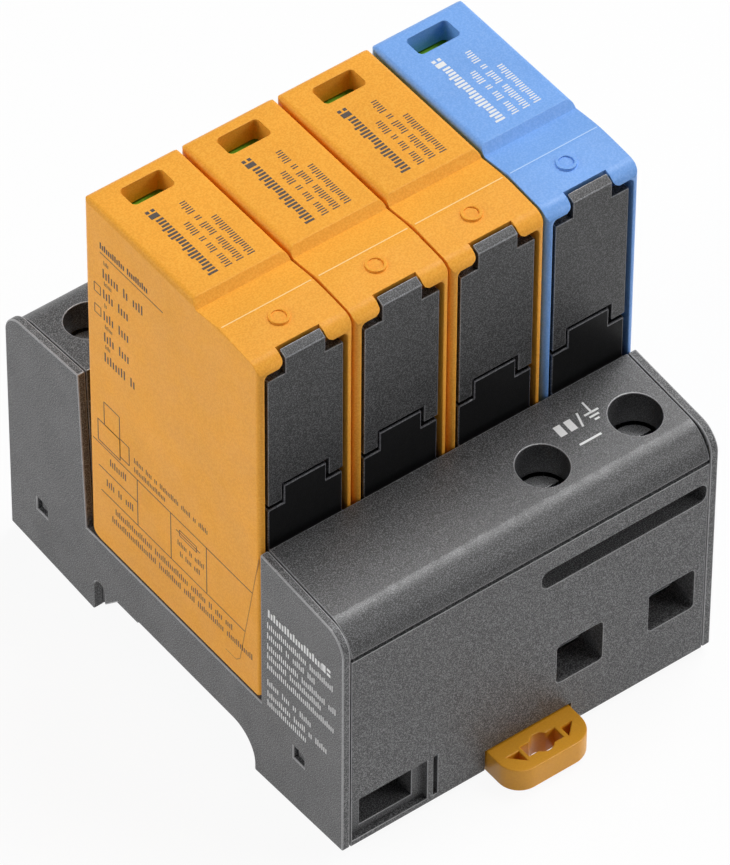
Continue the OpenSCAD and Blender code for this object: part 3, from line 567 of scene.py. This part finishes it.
class Face:
    """A flat face that print lies on, with the way it reads and the way up."""

    def __init__(self, corner, reads, up):
        along, rise = Vector(reads).normalized(), Vector(up).normalized()
        turn = Matrix((along, rise, along.cross(rise))).transposed().to_4x4()
        self.matrix = Matrix.Translation(Vector(corner) * MM) @ turn
        self.bm = bmesh.new()

    def bar(self, left, low, right, high):
        """One printed block between two corners."""
        self.stroke((left, (low + high) / 2), (right, (low + high) / 2), high - low)

    def stroke(self, start, end, width):
        """One straight printed line of that width."""
        a, b = Vector(start) * MM, Vector(end) * MM
        thick = 2 * bpy.context.scene.arrester_sizes.ink_height
        turn = Matrix.Rotation(math.atan2(b.y - a.y, b.x - a.x), 4, "Z")
        middle = Matrix.Translation(((a.x + b.x) / 2, (a.y + b.y) / 2, 0)) @ turn
        size = Matrix.Diagonal(((b - a).length, width * MM, thick, 1))
        bmesh.ops.create_cube(self.bm, size=1, matrix=self.matrix @ middle @ size)

    def outline(self, left, low, right, high, width):
        """A printed box."""
        for start, end in (((left, low), (right, low)), ((left, high), (right, high)),
                           ((left, low), (left, high)), ((right, low), (right, high))):
            self.stroke(start, end, width)

    def row(self, left, middle, height, words, bold=False):
        """A row of thin upright bars in groups, as a line of small print looks from a distance.

        words gives the number of pairs of bars in each group.
        """
        pen = height * (BOLD_PEN if bold else THIN_PEN)
        gap = height * (BOLD_GAP if bold else THIN_GAP)
        at = left
        for number, count in enumerate(words):
            for k in range(2 * count):
                tall = (k * BAR_STRIDE + number * WORD_STRIDE) % TALL_CYCLE in TALL_BARS
                top = height / 2 if tall else height * SHORT_BAR
                self.bar(at, middle - height / 2, at + pen, middle + top)
                at += pen + gap
            at += WORD_GAP * gap

    def blocks(self, left, low, small):
        """One large block and two small ones beside it, above each other."""
        high = low + BLOCK_HEIGHT
        beside = left + BLOCK_PITCH
        self.bar(left, low, left + BLOCK_WIDTH, high)
        self.bar(beside, low, beside + small, low + SMALL_BLOCK_HEIGHT)
        self.bar(beside, high - SMALL_BLOCK_HEIGHT, beside + small, high)

    def put(self, name, body, look, slot):
        """Makes a piece of what has been printed."""
        keep(self.bm, name, body, (look,))


class ARRESTER_OT_base_shell(bpy.types.Operator):
    """Finishes the base's housing, side covers and hoods"""
    bl_idname = "arrester.base_shell"
    bl_label = "Base shell"

    def execute(self, context):
        sizes = context.scene.arrester_sizes
        # The second finish of each pair is a painted highlight on the rounded edges
        greys = ("base_grey_moulding", "base_grey_edge")
        dress(("base_housing",), sizes.fine_edge, *greys)
        dress(("left_side_cover", "right_side_cover"), sizes.cover_edge, *greys)
        dress(("front_hood", "back_hood"), sizes.hood_edge, "hood_grey_grain", "hood_grey_edge")
        return {"FINISHED"}


class ARRESTER_OT_catches(bpy.types.Operator):
    """Finishes the catches that the levers lock into"""
    bl_idname = "arrester.catches"
    bl_label = "Plug catches"

    def execute(self, context):
        edge = context.scene.arrester_sizes.cover_edge
        # The second finish is a painted highlight on the rounded edges
        dress(("plug_catches",), edge, "catch_black_smooth", "catch_black_edge")
        return {"FINISHED"}


class ARRESTER_OT_rail_foot(bpy.types.Operator):
    """Finishes the foot that locks the base onto the rail"""
    bl_idname = "arrester.rail_foot"
    bl_label = "Rail foot"

    def execute(self, context):
        dress(("rail_foot",), context.scene.arrester_sizes.foot_edge, "foot_orange_smooth")
        return {"FINISHED"}


class ARRESTER_OT_conductors(bpy.types.Operator):
    """Finishes the copper bars with their contact jaws"""
    bl_idname = "arrester.conductors"
    bl_label = "Conductors"

    def execute(self, context):
        dress(("line_1_bar", "line_2_bar", "line_3_bar", "neutral_bus", "earth_bar"),
              context.scene.arrester_sizes.fine_edge, "rolled_copper")
        return {"FINISHED"}


class ARRESTER_OT_clamps(bpy.types.Operator):
    """Finishes the clamp screws and their cages"""
    bl_idname = "arrester.clamps"
    bl_label = "Clamps"

    def execute(self, context):
        edge = context.scene.arrester_sizes.fine_edge
        dress([f"{clamp}_screw" for clamp in CLAMPS], edge, "screw_zinc")
        dress([f"{clamp}_cage" for clamp in CLAMPS], edge, "cage_zinc")
        return {"FINISHED"}


class ARRESTER_OT_plug_shells(bpy.types.Operator):
    """Finishes the plugs' housings and bottoms"""
    bl_idname = "arrester.plug_shells"
    bl_label = "Plug shells"

    def execute(self, context):
        edge = context.scene.arrester_sizes.fine_edge
        for k in POLES:
            look = "plug_blue_satin" if k == NEUTRAL else "plug_orange_satin"
            dress((f"plug_{k}_housing",), edge, look)
        dress([f"plug_{k}_bottom" for k in POLES], edge, "lever_black_grain")
        return {"FINISHED"}


class ARRESTER_OT_plug_contacts(bpy.types.Operator):
    """Finishes the plugs' blades and release springs"""
    bl_idname = "arrester.plug_contacts"
    bl_label = "Plug contacts"

    def execute(self, context):
        edge = context.scene.arrester_sizes.fine_edge
        dress([f"plug_{k}_blades" for k in POLES], edge, "rolled_copper")
        dress([f"plug_{k}_spring" for k in POLES], edge, "cage_zinc")
        return {"FINISHED"}


class ARRESTER_OT_plug_cores(bpy.types.Operator):
    """Finishes the varistors and the spark gap inside the plugs"""
    bl_idname = "arrester.plug_cores"
    bl_label = "Plug cores"

    def execute(self, context):
        edge = context.scene.arrester_sizes.core_edge
        dress([f"plug_{k}_varistor" for k in POLES if k != NEUTRAL], edge, "varistor_dip")
        dress((f"plug_{NEUTRAL}_spark_gap",), edge, "spark_gap_glaze")
        return {"FINISHED"}


class ARRESTER_OT_state_flags(bpy.types.Operator):
    """Finishes the flags behind the plugs' windows"""
    bl_idname = "arrester.state_flags"
    bl_label = "State flags"

    def execute(self, context):
        edge = context.scene.arrester_sizes.lever_edge
        dress([f"plug_{k}_flag" for k in POLES], edge, "flag_green_smooth")
        return {"FINISHED"}


class ARRESTER_OT_release_levers(bpy.types.Operator):
    """Finishes the release levers on the plugs' fronts"""
    bl_idname = "arrester.release_levers"
    bl_label = "Release levers"

    def execute(self, context):
        edge = context.scene.arrester_sizes.lever_edge
        # The second finish is a painted highlight on the rounded edges
        dress([f"plug_{k}_lever" for k in POLES], edge, "lever_black_grain", "lever_black_edge")
        return {"FINISHED"}


class ARRESTER_OT_plug_print(bpy.types.Operator):
    """Prints rows, rules and boxes on the plugs, and draws a painted highlight along their ridges
    and a line of painted shade at their panels' edges
    """
    bl_idname = "arrester.plug_print"
    bl_label = "Plug print"

    def execute(self, context):
        for k in POLES:
            housing = f"plug_{k}_housing"
            body, slot = BODY_OF[housing], SLOT_OF[housing]
            ink = "white_print" if k == NEUTRAL else "dark_print"
            # The ridge line is a painted highlight
            ridge_highlight_ink = "blue_ridge" if k == NEUTRAL else "orange_ridge"
            low, high = (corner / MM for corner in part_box(housing))
            self.top(low, high).put(f"plug_{k}_top_print", body, ink, slot)
            self.ridge(low, high).put(f"plug_{k}_ridge", body, ridge_highlight_ink, slot)
            self.side(low).put(f"plug_{k}_side_print", body, ink, slot)
            # The panel's edge is a line of painted shade
            if k != NEUTRAL:
                self.panel(low).put(f"plug_{k}_panel_edge", body, "panel_edge", slot)
        return {"FINISHED"}

    def top(self, low, high):
        """A bold row with three blocks, and three small rows under it."""
        face = Face(((low.x + high.x) / 2, 0, high.z), (0, 1, 0), (-1, 0, 0))
        face.row(TOP_LEFT, TOP_BOLD_MIDDLE, TOP_BOLD_HEIGHT, LONG_WORD, bold=True)
        face.blocks(*TOP_BLOCKS)
        for middle, words in TOP_ROWS:
            face.row(TOP_LEFT, middle, TOP_ROW_HEIGHT, words)
        return face

    def ridge(self, low, high):
        """A painted highlight across the plug where its top starts to slope."""
        middle = (low.x + high.x) / 2
        face = Face((middle, RIDGE_Y, high.z - RIDGE_BELOW_TOP), (1, 0, 0), (0, 1, 0))
        face.stroke((low.x - middle + RIDGE_INSET, 0), (high.x - middle - RIDGE_INSET, 0), RIDGE_PEN)
        return face

    def side(self, low):
        """Labels with tags and tick boxes above, stacked boxes and a table below."""
        face = Face((low.x, 0, 0), (0, -1, 0), (0, 0, 1))
        face.row(*SIDE_BOLD_ROW, bold=True)
        face.stroke(*SIDE_BOLD_RULE, FINE_PEN)
        for middle, words, tag in LABELS:
            face.row(LABEL_LEFT, middle, LABEL_HEIGHT, words)
            face.row(TAG_LEFT, middle + TAG_RISE, TAG_HEIGHT, (tag,))
        for middle in TICK_BOX_MIDDLES:
            face.outline(TICK_BOX_LEFT, middle - TICK_BOX_HALF, TICK_BOX_RIGHT,
                         middle + TICK_BOX_HALF, FINE_PEN)
        for box in STACKED_BOXES:
            face.outline(*box, TABLE_PEN)
        for rule in TABLE_RULES:
            face.stroke(*rule, TABLE_PEN)
        for across in TABLE_POSTS:
            face.stroke((across, TABLE_LOW), (across, TABLE_HIGH), TABLE_PEN)
        face.outline(*FUSE_BOX, FINE_PEN)
        face.stroke(*FUSE_WIRE, FINE_PEN)
        for row in SIDE_ROWS:
            face.row(*row)
        return face

    def panel(self, low):
        """A slanted line of painted shade at the edge of the raised panel."""
        face = Face((low.x, 0, 0), (0, -1, 0), (0, 0, 1))
        for start, end, pen in zip(PANEL_CORNERS, PANEL_CORNERS[1:], PANEL_PENS):
            face.stroke(start, end, pen)
        return face


class ARRESTER_OT_base_print(bpy.types.Operator):
    """Prints rows of bars on the base's side and the earth mark on its front shoulder"""
    bl_idname = "arrester.base_print"
    bl_label = "Base print"

    def execute(self, context):
        slot = SLOT_OF["base_housing"]
        self.side().put("base_side_print", "base", "white_print", slot)
        self.earth_mark().put("earth_mark", "base", "white_print", slot)
        return {"FINISHED"}

    def side(self):
        """A bold row with three blocks, and two groups of small rows under it."""
        face = Face((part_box("left_side_cover")[0].x / MM, 0, 0), (0, -1, 0), (0, 0, 1))
        face.row(*BASE_BOLD_ROW, bold=True)
        face.blocks(*BASE_BLOCKS)
        for middle, words in BASE_ROWS:
            face.row(BASE_ROW_LEFT, middle, BASE_ROW_HEIGHT, words)
        return face

    def earth_mark(self):
        """Two blocks, a slash and the earth symbol, with a dash under them."""
        up = (0, math.cos(SHOULDER_SLOPE), math.sin(SHOULDER_SLOPE))
        face = Face(SHOULDER_EDGE, (1, 0, 0), up)
        for left in MARK_BLOCKS:
            face.bar(left, MARK_LOW, left + MARK_BLOCK_WIDTH, MARK_HIGH)
        face.stroke(*MARK_SLASH, MARK_PEN)
        face.stroke((EARTH_MIDDLE, EARTH_TOP_LINE), (EARTH_MIDDLE, EARTH_TOP_LINE + EARTH_STEM),
                    MARK_PEN)
        for step, reach in enumerate(EARTH_REACHES):
            height = EARTH_TOP_LINE - EARTH_PITCH * step
            face.stroke((EARTH_MIDDLE - reach, height), (EARTH_MIDDLE + reach, height), MARK_PEN)
        face.stroke(*DASH, DASH_PEN)
        return face


class ARRESTER_OT_stage(bpy.types.Operator):
    """Sets the floor, the soft lights and the camera"""
    bl_idname = "arrester.stage"
    bl_label = "Stage"

    def execute(self, context):
        self.floor(context)
        self.world(context)
        for name, (place, size, watts) in LAMPS.items():
            self.lamp(context, name, place, size, watts)
        self.camera(context)
        context.scene.view_settings.view_transform = "Standard"
        return {"FINISHED"}

    def seen(self, tree, strength):
        """This strength where the camera or a reflection looks, and 0 where light bounces."""
        path = tree.nodes.new("ShaderNodeLightPath")
        either = tree.nodes.new("ShaderNodeMath")
        either.operation = "MAXIMUM"
        tree.links.new(path.outputs["Is Camera Ray"], either.inputs[0])
        tree.links.new(path.outputs["Is Glossy Ray"], either.inputs[1])
        share = tree.nodes.new("ShaderNodeMath")
        share.operation = "MULTIPLY"
        share.inputs[1].default_value = strength
        tree.links.new(either.outputs[0], share.inputs[0])
        return share.outputs[0]

    def floor(self, context):
        """A pale floor that reads as nearly white and still takes a soft shadow."""
        bm = bmesh.new()
        bmesh.ops.create_grid(bm, x_segments=4, y_segments=4, size=FLOOR_REACH)
        bmesh.ops.translate(bm, verts=bm.verts, vec=(0, 0, -FLOOR_DROP))
        mesh = bpy.data.meshes.new("floor")
        bm.to_mesh(mesh)
        bm.free()
        ground = bpy.data.objects.new("floor", mesh)
        context.scene.collection.objects.link(ground)
        made = Finish("pale_floor")
        swatch = hue("floor")
        made.tint(made.mixed(made.noise(FLOOR_CLOUD), scaled(swatch, FLOOR_CLOUD_DARK), swatch))
        made.shader.inputs["Roughness"].default_value = FLOOR_ROUGHNESS
        glow = made.add("ShaderNodeEmission")
        both = made.add("ShaderNodeMixShader")
        made.link(self.seen(made.tree, FLOOR_WHITE), both.inputs[0])
        made.link(made.shader.outputs[0], both.inputs[1])
        made.link(glow.outputs[0], both.inputs[2])
        made.link(both.outputs[0], made.tree.nodes["Material Output"].inputs["Surface"])
        mesh.materials.append(made.material)

    def world(self, context):
        """A dim sky for the light, and white where the camera or a reflection looks."""
        world = bpy.data.worlds.new("studio")
        context.scene.world = world
        world.use_nodes = True
        tree = world.node_tree
        sky = tree.nodes["Background"]
        white = tree.nodes.new("ShaderNodeBackground")
        both = tree.nodes.new("ShaderNodeMixShader")
        sky.inputs["Strength"].default_value = SKY_STRENGTH
        for background in (sky, white):
            background.inputs["Color"].default_value = (1, 1, 1, 1)
        tree.links.new(self.seen(tree, 1.0), both.inputs[0])
        tree.links.new(sky.outputs[0], both.inputs[1])
        tree.links.new(white.outputs[0], both.inputs[2])
        tree.links.new(both.outputs[0], tree.nodes["World Output"].inputs["Surface"])

    def lamp(self, context, name, place, size, watts):
        """One soft lamp that faces the arrester."""
        light = bpy.data.lights.new(name, "AREA")
        light.size = size
        light.energy = watts
        lamp = bpy.data.objects.new(name, light)
        lamp.location = place
        lamp.rotation_euler = (LAMP_AIM - lamp.location).to_track_quat("-Z", "Y").to_euler()
        context.scene.collection.objects.link(lamp)

    def camera(self, context):
        """The camera, high at the front left corner."""
        level = math.cos(CAMERA_HEIGHT)
        back = Vector((math.sin(CAMERA_TURN) * level, -math.cos(CAMERA_TURN) * level,
                       math.sin(CAMERA_HEIGHT)))
        right = (-back).cross(Vector((0, 0, 1))).normalized()
        down = (-back).cross(right)
        across = right * math.cos(CAMERA_ROLL) - down * math.sin(CAMERA_ROLL)
        below = right * math.sin(CAMERA_ROLL) + down * math.cos(CAMERA_ROLL)
        lens = bpy.data.cameras.new("camera")
        lens.sensor_width = SENSOR_WIDTH
        lens.lens = SENSOR_WIDTH * FOCAL_PIXELS / PICTURE_PIXELS
        lens.clip_end = CLIP_END
        eye = bpy.data.objects.new("camera", lens)
        place = CAMERA_AIM + back * context.scene.arrester_sizes.camera_distance
        spin = Matrix((across, -below, back)).transposed().to_4x4()
        eye.matrix_world = Matrix.Translation(place) @ spin
        context.scene.collection.objects.link(eye)
        context.scene.camera = eye


STEPS = (
    ARRESTER_OT_base_shell,
    ARRESTER_OT_catches,
    ARRESTER_OT_rail_foot,
    ARRESTER_OT_conductors,
    ARRESTER_OT_clamps,
    ARRESTER_OT_plug_shells,
    ARRESTER_OT_plug_contacts,
    ARRESTER_OT_plug_cores,
    ARRESTER_OT_state_flags,
    ARRESTER_OT_release_levers,
    ARRESTER_OT_plug_print,
    ARRESTER_OT_base_print,
    ARRESTER_OT_stage,
)


class ARRESTER_PT_panel(bpy.types.Panel):
    """Shows the sizes and colours, and lists the steps that dress the arrester"""
    bl_idname = "ARRESTER_PT_panel"
    bl_label = "Surge arrester"
    bl_space_type = "VIEW_3D"
    bl_region_type = "UI"
    bl_category = "Arrester"

    def draw(self, context):
        for group in (context.scene.arrester_sizes, context.scene.arrester_colours):
            box = self.layout.box()
            for key in group.__annotations__:
                box.prop(group, key)
        for step in STEPS:
            self.layout.operator(step.bl_idname)


CLASSES = (ArresterSizes, ArresterColours, *STEPS, ARRESTER_PT_panel)


def register():
    for cls in CLASSES:
        bpy.utils.register_class(cls)
    bpy.types.Scene.arrester_sizes = bpy.props.PointerProperty(type=ArresterSizes)
    bpy.types.Scene.arrester_colours = bpy.props.PointerProperty(type=ArresterColours)


def unregister():
    del bpy.types.Scene.arrester_colours
    del bpy.types.Scene.arrester_sizes
    for cls in reversed(CLASSES):
        bpy.utils.unregister_class(cls)


def main():
    register()
    bpy.ops.arrester.base_shell()
    bpy.ops.arrester.catches()
    bpy.ops.arrester.rail_foot()
    bpy.ops.arrester.conductors()
    bpy.ops.arrester.clamps()
    bpy.ops.arrester.plug_shells()
    bpy.ops.arrester.plug_contacts()
    bpy.ops.arrester.plug_cores()
    bpy.ops.arrester.state_flags()
    bpy.ops.arrester.release_levers()
    bpy.ops.arrester.plug_print()
    bpy.ops.arrester.base_print()
    bpy.ops.arrester.stage()


if __name__ == "__main__":
    main()
